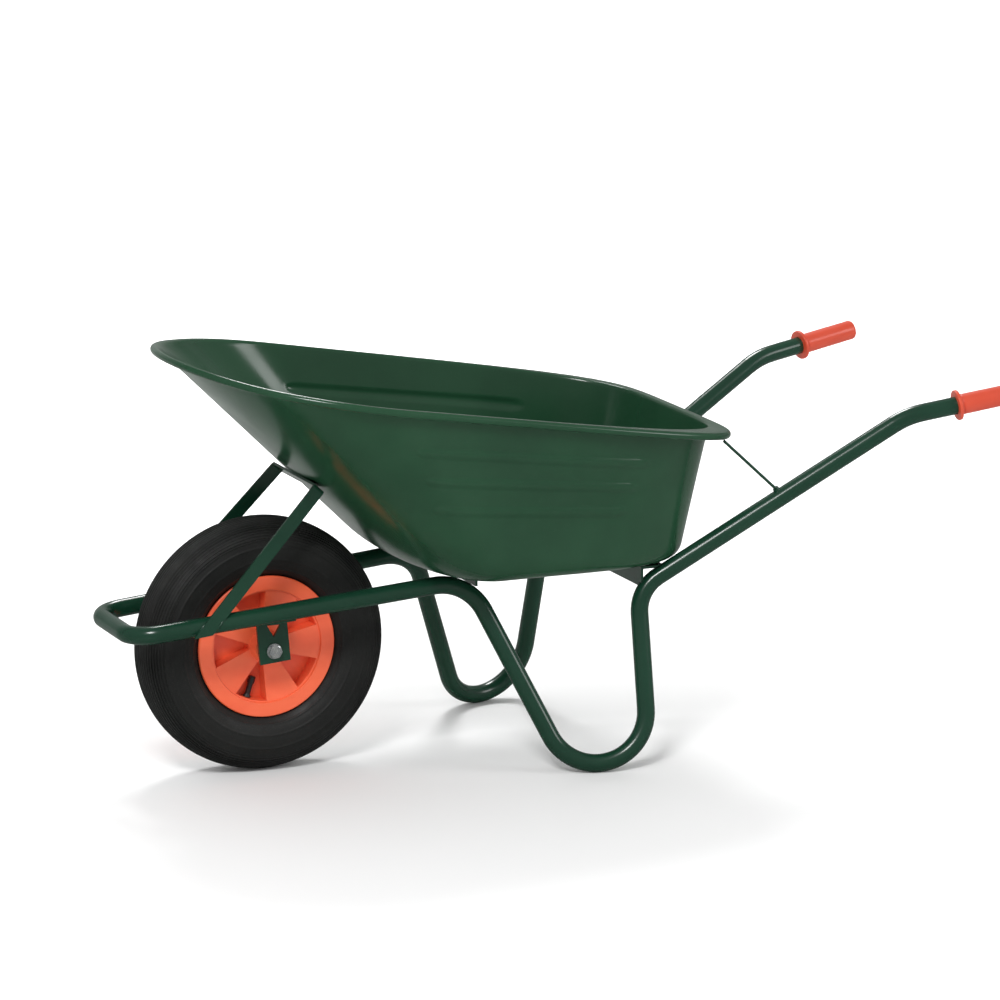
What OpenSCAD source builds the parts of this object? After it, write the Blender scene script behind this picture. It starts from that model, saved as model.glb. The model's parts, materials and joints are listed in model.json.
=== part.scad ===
// Garden wheelbarrow with a pressed steel tray, a bent tube frame and one pneumatic wheel.
// Millimetres, +Z up. The wheel is in front at -X and the handles point to +X.
// Lengths along X in the sections below are measured from the wheel's axle;
// place() then moves everything so that the origin is the middle of the ground outline.

/* [Frame tubes] */
// Outer diameter of every frame tube
tube_d = 28; // [24:1:32]
// Wall thickness of the frame tubes
tube_wall = 1.5; // [1.2:0.1:2.5]
// Distance from the axle forward to the middle of the nose tube
nose_reach = 236; // [222:1:280]
// Distance between the rails' centres at the nose
nose_gap = 186; // [170:2:220]
// Height of the nose tube's centre
nose_height = 247; // [243:1:280]
// Bend radius of the nose corners, at the tube's centre
nose_bend_r = 45; // [36:1:60]
// Distance behind the axle where rail and front leg meet
knee_x = 305; // [280:1:330]
// Distance between the tubes' centres at the front knees
knee_gap = 228; // [220:2:250]
// Height where rail and front leg meet
knee_z = 295; // [280:1:320]
// Bend radius of the front knees
knee_bend_r = 74; // [50:1:76]
// Distance behind the axle of the middle of the foot loops
foot_x = 476; // [440:1:500]
// Distance between the middles of the two foot loops
foot_gap = 437; // [400:1:480]
// Bend radius of the foot loops
foot_r = 80; // [65:1:95]
// Distance behind the axle where rear leg and handle meet
hip_x = 561; // [540:1:590]
// Distance between the tubes' centres at the hips
hip_gap = 380; // [360:2:400]
// Height where rear leg and handle meet
hip_z = 273; // [260:1:280]
// Bend radius at the hips
hip_bend_r = 64; // [44:1:75]
// Distance behind the axle where the handle turns level
wrist_x = 986; // [940:2:1040]
// Distance between the handles' centres at that bend
wrist_gap = 540; // [500:2:580]
// Height of that bend
wrist_z = 530; // [500:1:570]
// Bend radius at the wrists
wrist_bend_r = 130; // [90:5:170]
// Distance behind the axle where the grips start
grip_x = 1068; // [1056:1:1120]
// Distance between the grips' centres where they start
grip_gap = 564; // [550:2:620]
// Height where the grips start
grip_z = 543; // [520:1:590]
// Where the nose tube meets the leg tubes, behind the axle
seam_x = 247; // [180:1:250]
// Length of the reduced tube ends inside the nose tube
spigot_len = 40; // [25:1:60]
// Clearance all round the reduced ends in the nose tube
spigot_gap = 0.1; // [0.05:0.05:0.3]

/* [Grips] */
// Outer diameter of the grips
grip_d = 32; // [30:0.5:40]
// Length of a grip behind its flange
grip_len = 105; // [90:1:130]
// Diameter of the hand stop flange
grip_flange_d = 48; // [40:1:60]
// Thickness of the flange
grip_flange_t = 6; // [4:0.5:10]
// Thickness of the closed end of a grip
grip_cap_t = 4; // [2:0.5:8]
// Clearance between grip and tube
grip_gap_r = 0.05; // [0:0.05:0.2]

/* [Wheel] */
// Outer diameter of the tyre
tyre_d = 400; // [380:2:410]
// Width of the tyre
tyre_w = 102; // [90:1:106]
// Height of the tyre's rounded crown, from its widest place to the tread
crown_h = 48; // [44:1:52]
// Squareness of the tyre's section (2 is an ellipse)
tyre_square = 2.3; // [2:0.1:3]
// Half the height of the room inside the tyre
cavity_h = 41; // [36:0.5:44]
// Thickness of the tyre's side walls
tyre_wall = 5; // [4:0.5:7]
// Thickness of the tyre under the tread
tread_t = 9; // [7:0.5:12]
// Number of grooves round the tread
tread_grooves = 9; // [5:2:13]
// Depth of the tread grooves
groove_depth = 2; // [1:0.25:3]
// Thickness of the inner tube's wall
tube_wall_t = 2; // [1.5:0.5:3]
// Clearance between the inner tube and the tyre
tube_room = 0.5; // [0.3:0.1:1]
// Outer radius of the rim's flanges
rim_r = 112; // [106:1:116]
// Radius of the rim's bead seats
bead_r = 101.6; // [98:0.2:103]
// Width of the rim over its flanges
rim_w = 75; // [68:1:80]
// Radius where the rim's edge band ends and its dished face starts
rim_face_r = 89; // [84:1:92]
// Thickness of the rim's channel wall
rim_t = 4.5; // [3:0.5:6]
// Radius of the rim's well between the bead seats
well_r = 96; // [94:0.5:97]
// Number of pockets moulded into each side of the rim
pockets = 5; // [3:1:8]
// Width of a pocket at its outer end
pocket_w = 58; // [30:1:62]
// Depth of a pocket
pocket_depth = 27; // [10:1:30]
// Angle of the first pocket from straight ahead, turning with the wheel
pocket_turn = 36; // [0:1:72]
// Outer diameter of the rim's hub
hub_d = 44; // [38:1:50]
// Width over the hub
hub_w = 96; // [84:2:110]
// Outer diameter of the hub bushes
bush_d = 24; // [20:0.5:28]
// Length of a hub bush inside the hub
bush_len = 28; // [15:1:34]
// Diameter of the bush's flange
bush_flange_d = 34; // [30:1:38]
// Thickness of the bush's flange
bush_flange_t = 3; // [2:0.5:4]
// Distance of the valve from the wheel's middle plane
valve_y = 15; // [12:0.5:18]
// Diameter of the valve's stem
valve_d = 8.5; // [7:0.5:10]
// Length of the valve's stem inside the pocket
valve_len = 30; // [22:1:36]
// Diameter of the hole for the valve
valve_hole_d = 11; // [10:0.5:12]
// Diameter of the valve's cap
valve_cap_d = 11; // [10:0.2:13]
// Length of the valve's cap
valve_cap_len = 11; // [8:1:14]

/* [Axle] */
// Diameter of the axle bolt
axle_d = 12; // [10:1:16]
// Clearance all round the axle in the bushes
axle_gap = 0.05; // [0.02:0.01:0.1]
// Width across the flats of the bolt's head and nut
axle_hex = 19; // [17:1:24]
// Height of the bolt's head
axle_head_t = 7.5; // [6:0.5:10]
// Height of the nut
axle_nut_t = 10; // [8:0.5:14]
// Thickness of the axle washers
axle_washer_t = 2.5; // [1.5:0.5:4]
// Diameter of the axle washers
axle_washer_d = 24; // [22:1:30]
// Outer diameter of the spacer tubes
spacer_d = 20; // [17:0.5:26]
// Length of the spacer tubes
spacer_len = 12; // [8:0.5:20]
// Play left between a spacer and its bush
spacer_play = 0.4; // [0.3:0.1:1]
// Thickness of the axle plates
plate_t = 5; // [4:0.5:8]
// Width of an axle plate
plate_w = 50; // [44:1:60]
// How far a plate reaches below the axle
plate_drop = 19; // [16:1:26]
// How far a plate's middle stands ahead of the axle
plate_lead = 5; // [0:0.5:8]
// Height of the notch's tip above the axle
notch_low = 22; // [16:1:28]
// Width of the notch at its top
notch_w = 22; // [10:1:28]
// Height of the notch
notch_h = 19; // [8:1:22]

/* [Tray] */
// Thickness of the tray's sheet
sheet_t = 1.2; // [0.8:0.1:2]
// How far the tray's rim reaches in front of the axle
tray_nose = 150; // [140:1:165]
// Where the tray's rim ends behind the axle
tray_tail = 727; // [715:1:745]
// Width over the tray's rim
tray_w = 622; // [600:2:640]
// Width over the rim at its squared rear
tray_rear_w = 568; // [550:2:590]
// Where the tray is widest, behind the axle
tray_mid = 130; // [110:1:160]
// Squareness of the rim's rear corners (2 is an ellipse)
rim_square = 6; // [3:0.5:8]
// Height of the rim above the ground, over the axle
rim_z = 631; // [615:1:650]
// Fall of the rim towards the rear, for each millimetre of length
rim_fall = 0.163; // [0.14:0.001:0.18]
// Extra lift of the rim at the nose
nose_lift = 6; // [0:1:14]
// Where the tray's floor starts behind the axle
floor_front = 219; // [205:1:235]
// Where the tray's floor ends behind the axle
floor_tail = 655; // [640:1:660]
// Width of the floor's outline before its edge is rounded
floor_w = 474; // [450:2:490]
// Where the floor's rounded front passes into its sides
floor_mid = 319; // [290:1:340]
// Squareness of the floor's rear corners (2 is an ellipse)
floor_square = 4.7; // [3:0.1:6]
// Radius taken off the tray's bottom edge, along the floor
floor_round = 44; // [30:1:60]
// Share of the wall's height that the bottom rounding takes
round_share = 0.13; // [0.08:0.01:0.25]
// Width of the rim's flange at the sides and the nose, with its rolled edge
flange_w = 13; // [12:1:18]
// Width of the rim's flange at the rear, with its rolled edge
flange_rear_w = 22; // [20:1:32]
// Diameter of the rim's rolled edge
roll_d = 12; // [8:0.5:13]
// How far the middle of the rolled edge lies below the rim's height
roll_drop = 4; // [2:0.5:5]
// Squareness of the walls' rear corners below the flange (2 is an ellipse)
wall_square = 4.6; // [3:0.1:7]

/* [Tray supports] */
// Thickness of the cross bars
bar_t = 4; // [3:0.5:6]
// Width of the front cross bar
front_bar_w = 50; // [40:1:60]
// Height of the front cross bar's rear flange
front_bar_h = 25; // [20:1:28]
// Width of the rear cross bar
rear_bar_w = 40; // [30:1:50]
// Height of the rear cross bar's front flange
rear_bar_h = 32; // [28:1:38]
// How far the rear cross bar's front face stands behind the hips
rear_bar_set = 2; // [0:1:6]
// Width of the front brace strip
brace_w = 21; // [16:1:30]
// Thickness of the front brace strip
brace_t = 4; // [3:0.5:6]
// Where the brace crosses the rails' centres, ahead of the axle
brace_foot = 119; // [100:1:130]
// Lean of the brace towards the rear
brace_lean = 43.4; // [40:0.2:46]
// How much closer each brace leg stands to the middle at its top
brace_taper = 23; // [0:1:30]
// Outer radius of the brace's two bends
brace_bend_r = 6; // [4.5:0.5:14]
// How far the brace's ends stop above the rails' undersides
brace_end = 2; // [0:0.5:6]
// Diameter of the stay rods
stay_d = 5; // [4:0.5:7]
// Where a stay rod stands on its handle, behind the axle
stay_foot_x = 790; // [770:1:800]
// Where a stay rod meets the rim, behind the axle
stay_top_x = 693; // [670:1:700]
// Gap between a stay rod's end and the rim, filled by its weld
stay_gap = 2; // [1.5:0.1:4]
// Diameter of the weld at a stay rod's foot
stay_weld_d = 10; // [7:0.5:12]

/* [Screws] */
// Diameter of the tray's bolts
bolt_d = 8; // [6:1:10]
// Diameter of their domed heads
bolt_head_d = 20; // [16:1:24]
// Height of the domed heads
bolt_head_t = 4.5; // [3:0.5:6]
// Width across the flats of their nuts
bolt_hex = 13; // [11:1:17]
// Height of their nuts
bolt_nut_t = 6.5; // [5:0.5:9]
// Diameter of their washers
bolt_washer_d = 18; // [16:1:22]
// Thickness of their washers
bolt_washer_t = 1.6; // [1:0.1:2.5]
// Clearance all round a bolt in its hole
bolt_gap = 0.5; // [0.25:0.25:1]
// How far a bolt stands out of its nut
bolt_over = 3; // [1:0.5:6]
// Distance between the two bolts of a cross bar
bar_bolt_gap = 120; // [80:2:150]

/* [Hidden] */
$fn = 48;

GREEN = [0.10, 0.24, 0.16];
ORANGE = [0.95, 0.33, 0.20];
BLACK = [0.07, 0.07, 0.07];
STEEL = [0.75, 0.76, 0.78];
NYLON = [0.85, 0.84, 0.80];

// A weld seam fills this much between a tube and what is coped to it.
weld = 0.2;
// Pieces that are cut from each other overrun by this much.
over = 1;
// Bends are drawn this much thicker than the straight runs, whose ends reach lap into them.
proud = 0.05;
lap = 0.5;
// The tyre's beads stand this far off their seats.
tyre_seat = 0.3;
// The pocket that holds the valve, counted from the first
valve_pocket = 3;
// From the well's outside to the valve's foot in the pocket
valve_wall = well_r - rim_face_r + 3;
// Corners of each of the tray's outlines, and how far up the wall the outlines lie
turns = 72;
wall_steps = [0, 0.2, 0.4, 0.6, 0.8, 1, 1.25, 1.5, 1.75];
// The tray's bottom rounding pulls towards this place behind the axle.
floor_pull = 400;
tube_r = tube_d / 2;
bore_r = tube_r - tube_wall;
axle_z = tyre_d / 2;
floor_z = knee_z + tube_r + 1;

// ---------- vectors ----------
function unit(v) = v / norm(v);
function mix(a, b, t) = a + (b - a) * t;
function flip(p, side) = [p.x, side * p.y, p.z];
// Rows of a matrix whose columns are three unit vectors and a place.
function frame_at(x, y, z, p) = [
    [x.x, y.x, z.x, p.x], [x.y, y.y, z.y, p.y], [x.z, y.z, z.z, p.z], [0, 0, 0, 1]
];
function any_normal(d) = unit(cross(d, abs(d.z) < 0.9 ? [0, 0, 1] : [1, 0, 0]));

// ---------- the tubes' route ----------
nose_corner = [-nose_reach, nose_gap / 2, nose_height];
knee = [knee_x, knee_gap / 2, knee_z];
hip = [hip_x, hip_gap / 2, hip_z];
wrist = [wrist_x, wrist_gap / 2, wrist_z];
grip_start = [grip_x, grip_gap / 2, grip_z];
grip_dir = unit(grip_start - wrist);
handle_end = grip_start + grip_dir * (grip_len - grip_cap_t);
rail_dir = unit(knee - nose_corner);
seam = rail_at(seam_x);

// A point of the rail's centre line at a distance behind the axle
function rail_at(x) = mix(nose_corner, knee, (x + nose_reach) / (knee_x + nose_reach));
function handle_at(x) = mix(hip, wrist, (x - hip_x) / (wrist_x - hip_x));

// Normal of the plane through a foot loop's centre, the knee and the hip
function loop_normal(c) = unit(cross(knee - c, hip - c));
// The loop's centre stands just high enough for the tube to touch the ground.
function foot_centre(rounds) =
    rounds == 0 ? [foot_x, foot_gap / 2, foot_r + tube_r] :
    let (n = loop_normal(foot_centre(rounds - 1)))
    [foot_x, foot_gap / 2, foot_r * sqrt(1 - n.z * n.z) + tube_r];
foot = foot_centre(6);
// Both legs touch the loop; their centre lines cross at a point below the ground.
function leg_cross() =
    let (n = loop_normal(foot), ex = unit(knee - foot), ey = cross(n, ex))
    let (turn = atan2((hip - foot) * ey, (hip - foot) * ex))
    let (touch_a = -acos(foot_r / norm(knee - foot)))
    let (touch_b = turn + acos(foot_r / norm(hip - foot)))
    let (half = (360 - (touch_b - touch_a)) / 2, middle = touch_b + half)
    foot + (ex * cos(middle) + ey * sin(middle)) * foot_r / cos(half);

leg_route = [seam, knee, leg_cross(), hip, wrist, handle_end];
leg_bends = [0, knee_bend_r, foot_r, hip_bend_r, wrist_bend_r, 0];

// Length of tube that a bend takes from the straight on either side of corner i
function bend_reach(p, r, i) =
    r[i] == 0 ? 0 :
    let (a = unit(p[i] - p[i - 1]), b = unit(p[i + 1] - p[i]))
    r[i] * tan(acos(a * b) / 2);

// One straight tube
module rod(a, b, outer, inner = 0) {
    d = unit(b - a);
    x = any_normal(d);
    multmatrix(frame_at(x, cross(d, x), d, a)) difference() {
        cylinder(r = outer, h = norm(b - a));
        if (inner > 0) translate([0, 0, -over]) cylinder(r = inner, h = norm(b - a) + 2 * over);
    }
}

// One bend: an arc of tube that leaves direction a for direction b round corner p
module bend(p, a, b, r, outer, inner) {
    side = unit(b - a * (a * b));
    centre = p - a * (r * tan(acos(a * b) / 2)) + side * r;
    multmatrix(frame_at(-side, a, cross(-side, a), centre))
        rotate_extrude(angle = acos(a * b))
            translate([r, 0]) difference() {
                circle(r = outer);
                if (inner > 0) circle(r = inner);
            }
}

// How much of a straight run is left out at corner i, where the bend takes over
function run_trim(p, r, i) = r[i] == 0 ? 0 : bend_reach(p, r, i) - lap;

// A tube along straight runs p, bent at every corner that has a radius in r
module bent_tube(p, r, outer, inner = 0, first_run = 0) {
    for (i = [first_run : len(p) - 2]) {
        d = unit(p[i + 1] - p[i]);
        rod(p[i] + d * run_trim(p, r, i), p[i + 1] - d * run_trim(p, r, i + 1), outer, inner);
    }
    for (i = [1 : len(p) - 2])
        bend(p[i], unit(p[i] - p[i - 1]), unit(p[i + 1] - p[i]), r[i],
            outer + proud, inner > 0 ? inner - proud : 0);
}

// Moves a piece from the axle's frame to the model's own origin
front_end = -nose_reach - tube_r;
rear_end = (grip_start + grip_dir * grip_len).x;
module place() { translate([-(front_end + rear_end) / 2, 0, 0]) children(); }
// side is 1 for the right half and -1 for the left half
module half(side) { if (side > 0) children(); else mirror([0, 1, 0]) children(); }

// ---------- frame ----------
module nose_tube() color(GREEN) place() {
    route = [seam, nose_corner, flip(nose_corner, -1), flip(seam, -1)];
    bent_tube(route, [0, nose_bend_r, nose_bend_r, 0], tube_r, bore_r);
}

// Leg and handle in one tube, with a reduced end that goes into the nose tube
module frame_tube(side) color(GREEN) place() half(side) {
    bent_tube(leg_route, leg_bends, tube_r, bore_r, first_run = 1);
    x = any_normal(rail_dir);
    run = norm(knee - seam) - run_trim(leg_route, leg_bends, 1);
    spigot_r = bore_r - spigot_gap;
    neck_r = spigot_r - tube_wall;
    shoulder = 2 * tube_wall;
    multmatrix(frame_at(x, cross(rail_dir, x), rail_dir, seam)) rotate_extrude() polygon([
        [neck_r, -spigot_len], [spigot_r, -spigot_len], [spigot_r, 0], [tube_r, 0],
        [tube_r, run], [bore_r, run], [bore_r, shoulder], [neck_r, shoulder]
    ]);
}
module frame_tube_left() { frame_tube(-1); }
module frame_tube_right() { frame_tube(1); }

// The space that the tubes take, with room for the weld, for coping what meets them
module leg_space() {
    for (side = [-1, 1]) half(side)
        bent_tube(leg_route, leg_bends, tube_r + weld);
}
module rail_space() {
    for (side = [-1, 1]) half(side) rod(nose_corner, seam, tube_r + weld);
}

// Flat bar across the knees, with a flange at its rear edge that stands on both bends
module front_crossbar() color(GREEN) place() {
    half_len = knee_gap / 2 + tube_r / 2;
    tail = knee_x + tube_r;
    difference() {
        union() {
            translate([tail - front_bar_w, -half_len, floor_z - bar_t])
                cube([front_bar_w, 2 * half_len, bar_t]);
            translate([tail - bar_t, -half_len, floor_z - front_bar_h])
                cube([bar_t, 2 * half_len, front_bar_h]);
        }
        leg_space();
        rail_space();
        for (y = [-1, 1] * bar_bolt_gap / 2)
            translate([front_bolt_x, y, floor_z - front_bar_h]) bolt_hole(front_bar_h + over);
    }
}

// Angle bar across the hips
module rear_crossbar() color(GREEN) place() {
    half_len = hip_gap / 2 + tube_r / 2;
    lead = hip_x + rear_bar_set;
    difference() {
        union() {
            translate([lead, -half_len, floor_z - bar_t]) cube([rear_bar_w, 2 * half_len, bar_t]);
            translate([lead, -half_len, floor_z - rear_bar_h])
                cube([bar_t, 2 * half_len, rear_bar_h]);
        }
        leg_space();
        for (y = [-1, 1] * bar_bolt_gap / 2)
            translate([rear_bolt_x, y, floor_z - rear_bar_h]) bolt_hole(rear_bar_h + over);
    }
}
front_bolt_x = knee_x + tube_r - front_bar_w / 2 - bar_t / 2;
rear_bolt_x = hip_x + rear_bar_set + (rear_bar_w + bar_t) / 2;
module bolt_hole(h) { cylinder(d = bolt_d + 2 * bolt_gap, h = h); }

// ---------- front brace ----------
// A flat strip bent to a U: both legs stand outside the rails and the middle lies
// flat against the tray's front slope.
brace_base = rail_at(-brace_foot);
brace_dir = [sin(brace_lean), 0, cos(brace_lean)];
brace_side = [cos(brace_lean), 0, -sin(brace_lean)];
// The tray's front slope between the floor's rounding and the rim, at the middle
slope_low = [floor_front, 0, floor_z];
slope_high = [-tray_nose + flange_w, 0, rim_height(-tray_nose + flange_w)];
// Length of a brace leg from the rail's centre to the middle's upper face
brace_len =
    let (s = slope_high - slope_low, q = slope_low - [brace_base.x, 0, brace_base.z])
    (q.x * s.z - q.z * s.x) / (brace_dir.x * s.z - brace_dir.z * s.x) - brace_w / 2 *
    tan(abs(atan2(s.z, -s.x) - brace_lean));

module brace_frame() {
    multmatrix(frame_at([0, 1, 0], brace_dir, -brace_side, [brace_base.x, 0, brace_base.z]))
        children();
}
// The strip seen along its width, from below the rail up
module brace_outline(inset) {
    foot_y = brace_base.y + tube_r + weld + brace_t;
    drop = tube_d + (inset > 0 ? over : 0);
    r = max(brace_bend_r - inset, 0.5);
    polygon(concat(
        [[-foot_y + inset, -drop], [foot_y - inset, -drop]],
        [for (a = [0 : 15 : 90]) [
            foot_y - brace_taper - inset - r + r * cos(a), brace_len - inset - r + r * sin(a)]],
        [for (a = [90 : 15 : 180]) [
            -(foot_y - brace_taper - inset - r) + r * cos(a), brace_len - inset - r + r * sin(a)]]
    ));
}
// The ends are cut along the rails, and the legs are coped round them.
module front_brace() color(GREEN) place() difference() {
    brace_frame() translate([0, 0, -brace_w / 2]) linear_extrude(brace_w) difference() {
        brace_outline(0);
        brace_outline(brace_t);
    }
    rail_space();
    translate(rail_at(-brace_foot)) rotate([0, -atan2(rail_dir.z, rail_dir.x), 0])
        translate([-2 * tube_d, -2 * brace_base.y - tube_d, -2 * tube_d - tube_r + brace_end])
        cube([4 * tube_d, 2 * brace_base.y + 2 * tube_d, 2 * tube_d]);
}

// ---------- axle brackets ----------
// An upright plate beside the wheel whose top is folded out and welded to the rail's inner side
bracket_y = hub_w / 2 + bush_flange_t + spacer_len + spacer_play;
module axle_bracket(side) color(GREEN) place() half(side) {
    pitch = atan2(rail_dir.z, norm([rail_dir.x, rail_dir.y]));
    above = rail_at(0);
    fold_z = -tube_r / 2;
    depth = above.z + fold_z - axle_z + plate_drop;
    difference() {
        translate([above.x - plate_lead, 0, above.z]) rotate([0, -pitch, 0]) {
            // folded top
            translate([-plate_w / 2, bracket_y, fold_z - plate_t])
                cube([plate_w, above.y - bracket_y, plate_t]);
            // upright plate
            translate([-plate_w / 2, bracket_y, fold_z - depth])
                cube([plate_w, plate_t, depth]);
        }
        rail_space();
        translate([0, 0, axle_z]) rotate([-90, 0, 0])
            cylinder(r = axle_d / 2 + bolt_gap, h = above.y + tube_d);
        // stiffening notch under the fold
        translate([0, bracket_y - over, axle_z + notch_low]) rotate([90, 0, 0])
            mirror([0, 0, 1]) linear_extrude(plate_t + 2 * over)
            polygon([[0, 0], [notch_w / 2, notch_h], [-notch_w / 2, notch_h]]);
    }
}
module axle_bracket_left() { axle_bracket(-1); }
module axle_bracket_right() { axle_bracket(1); }

// ---------- axle ----------
// Everything on the axle is drawn along +Z and turned so that its end points to +Y.
module on_axle(y) { place() translate([0, y, axle_z]) rotate([-90, 0, 0]) children(); }
module hexagon(flats, h) { cylinder(d = flats / cos(30), h = h, $fn = 6); }
module ring(outer, inner, h) {
    difference() {
        cylinder(d = outer, h = h);
        translate([0, 0, -over]) cylinder(d = inner, h = h + 2 * over);
    }
}
bracket_face = bracket_y + plate_t;
module axle_bolt() color(STEEL) {
    head_face = bracket_face + axle_washer_t;
    on_axle(-head_face) {
        cylinder(d = axle_d, h = 2 * head_face + axle_nut_t + bolt_over);
        difference() {
            translate([0, 0, -axle_head_t]) hexagon(axle_hex, axle_head_t);
            chamfer_ring(axle_hex, -axle_head_t);
        }
    }
}
// Takes the corners off a hexagon's end
module chamfer_ring(flats, z) {
    r = flats / 2;
    translate([0, 0, z]) rotate_extrude()
        polygon([[r * 0.97, -over], [r * 1.3, -over], [r * 1.3, r * 0.16], [r * 0.97, 0]]);
}
module axle_nut() color(STEEL) on_axle(bracket_face + axle_washer_t) difference() {
    hexagon(axle_hex, axle_nut_t);
    translate([0, 0, -over]) cylinder(d = axle_d, h = axle_nut_t + 2 * over);
}
module axle_washers() color(STEEL) {
    on_axle(-bracket_face - axle_washer_t) ring(axle_washer_d, axle_d, axle_washer_t);
    on_axle(bracket_face) ring(axle_washer_d, axle_d, axle_washer_t);
}
module axle_spacer(side) color(STEEL) half(side)
    on_axle(bracket_y - spacer_len) ring(spacer_d, axle_d + 2 * bolt_gap, spacer_len);
module axle_spacer_left() { axle_spacer(-1); }
module axle_spacer_right() { axle_spacer(1); }

// ---------- wheel ----------
module hub_bush(side) color(NYLON) half(side) difference() {
    union() {
        on_axle(hub_w / 2 - bush_len) cylinder(d = bush_d, h = bush_len);
        on_axle(hub_w / 2) cylinder(d = bush_flange_d, h = bush_flange_t);
    }
    on_axle(hub_w / 2 - bush_len - over)
        cylinder(r = axle_d / 2 + axle_gap, h = bush_len + bush_flange_t + 2 * over);
}
module hub_bush_left() { hub_bush(-1); }
module hub_bush_right() { hub_bush(1); }

// Half of the rim's section, from the hub's bore out to the well, as [radius, width]
face_y = rim_w / 2 - 3;
lip_y = rim_w / 2 - 4.5;
rim_half = [
    [bush_d / 2, hub_w / 2], [hub_d / 2, hub_w / 2], [hub_d / 2 + 4, face_y - 5],
    [rim_face_r, face_y], [rim_face_r + 1, rim_w / 2], [rim_r - 1.5, rim_w / 2],
    [rim_r, rim_w / 2 - 1.5], [rim_r, lip_y], [bead_r, lip_y - 1.5], [bead_r, 20], [well_r, 15]
];
module wheel_rim() color(ORANGE) difference() {
    on_axle(0) {
        rotate_extrude($fn = 96)
            polygon(concat(rim_half, [for (i = [len(rim_half) - 1 : -1 : 0])
                [rim_half[i].x, -rim_half[i].y]]));
    }
    for (side = [-1, 1], i = [0 : pockets - 1])
        on_axle(0) rotate([0, 0, -pocket_turn - i * 360 / pockets])
            translate([0, 0, side > 0 ? face_y - pocket_depth : -face_y - over])
            linear_extrude(pocket_depth + over) pocket_outline();
    on_axle(-valve_y) rotate([0, 0, -pocket_turn - valve_pocket * 360 / pockets])
        rotate([0, 90, 0]) translate([0, 0, rim_face_r - rim_t - over])
        cylinder(d = valve_hole_d, h = rim_r);
}
// A wedge that widens from the hub to the edge band
module pocket_outline() {
    inner = hub_d / 2 + 4;
    outer = rim_face_r - 2;
    r = 3;
    polygon([
        [inner, -r], [inner + r, -r * 1.8], [outer * 0.93, -pocket_w / 2 + r],
        [outer * 0.95, -pocket_w / 2 + r / 2], [outer * cos(12), -outer * sin(12)],
        [outer, 0], [outer * cos(12), outer * sin(12)], [outer * 0.95, pocket_w / 2 - r / 2],
        [outer * 0.93, pocket_w / 2 - r], [inner + r, r * 1.8], [inner, r]
    ]);
}

// A rounded outline between an ellipse and a rectangle: half width w, half height h
function round_box(w, h, n, a) = [
    w * sign(cos(a)) * pow(abs(cos(a)), 2 / n), h * sign(sin(a)) * pow(abs(sin(a)), 2 / n)
];
tyre_mid = tyre_d / 2 - crown_h;
cavity_mid = tyre_d / 2 - tread_t - cavity_h;
// The grooved tread covers this angle of the tyre's outline on either side of its crown.
tread_span = 62;
function groove(a) =
    let (k = (a - 90) / tread_span)
    abs(k) > 1 ? 0 : groove_depth * (1 - cos(360 * tread_grooves * (k + 1) / 2)) / 2;
module tyre() color(BLACK) on_axle(0) rotate_extrude($fn = 96) {
    step = 2 * tread_span / tread_grooves / 4;
    outer = concat(
        [for (a = [-56 : 8 : 24]) a],
        [for (a = [90 - tread_span : step : 90 + tread_span]) a],
        [for (a = [156 : 8 : 236]) a]);
    polygon(concat(
        [for (a = outer) let (p = round_box(tyre_w / 2, crown_h, tyre_square, a))
            [tyre_mid + p.y - groove(a), p.x]],
        [[bead_r + tyre_seat, -lip_y + 1.7], [bead_r + tyre_seat, -21], [bead_r + 4, -20]],
        [for (a = [242 : -8 : -62])
            let (p = round_box(tyre_w / 2 - tyre_wall, cavity_h, tyre_square, a))
            [cavity_mid + p.y, p.x]],
        [[bead_r + 4, 20], [bead_r + tyre_seat, 21], [bead_r + tyre_seat, lip_y - 1.7]]
    ));
}
module inner_tube() color(BLACK) on_axle(0) rotate_extrude($fn = 96) {
    w = tyre_w / 2 - tyre_wall - tube_room;
    h = cavity_h - tube_room;
    difference() {
        polygon([for (a = [0 : 10 : 350])
            let (p = round_box(w, h, tyre_square, a)) [cavity_mid + p.y, p.x]]);
        polygon([for (a = [0 : 10 : 350])
            let (p = round_box(w - tube_wall_t, h - tube_wall_t, tyre_square, a))
            [cavity_mid + p.y, p.x]]);
    }
}
// The valve comes through the rim's well into one pocket of the left face.
// Drawn along +Z from the well's outside towards the hub.
module on_valve(z) {
    on_axle(-valve_y) rotate([0, 0, -pocket_turn - valve_pocket * 360 / pockets])
        rotate([0, -90, 0]) translate([0, 0, z - well_r]) children();
}
module valve_stem() color(BLACK) {
    root = cavity_mid - cavity_h + tube_room - well_r;
    on_valve(0) difference() {
        union() {
            translate([0, 0, -root]) cylinder(d = valve_d, h = root + valve_wall + valve_len);
            cylinder(d = valve_hole_d - 0.4, h = valve_wall);
            translate([0, 0, valve_wall]) cylinder(d1 = valve_hole_d + 2, d2 = valve_d, h = 5);
        }
        translate([0, 0, -root - over])
            cylinder(d = valve_d / 2, h = root + valve_wall + valve_len + 2 * over);
    }
}
module valve_cap() color(BLACK) {
    base = valve_wall + valve_len - valve_cap_len * 0.7;
    on_valve(base) difference() {
        union() {
            cylinder(d = valve_cap_d, h = valve_cap_len - 1);
            translate([0, 0, valve_cap_len - 1])
                cylinder(d1 = valve_cap_d, d2 = valve_cap_d - 2, h = 1);
        }
        translate([0, 0, -over]) cylinder(d = valve_d + 0.1, h = valve_cap_len * 0.7 + over);
    }
}

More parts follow.
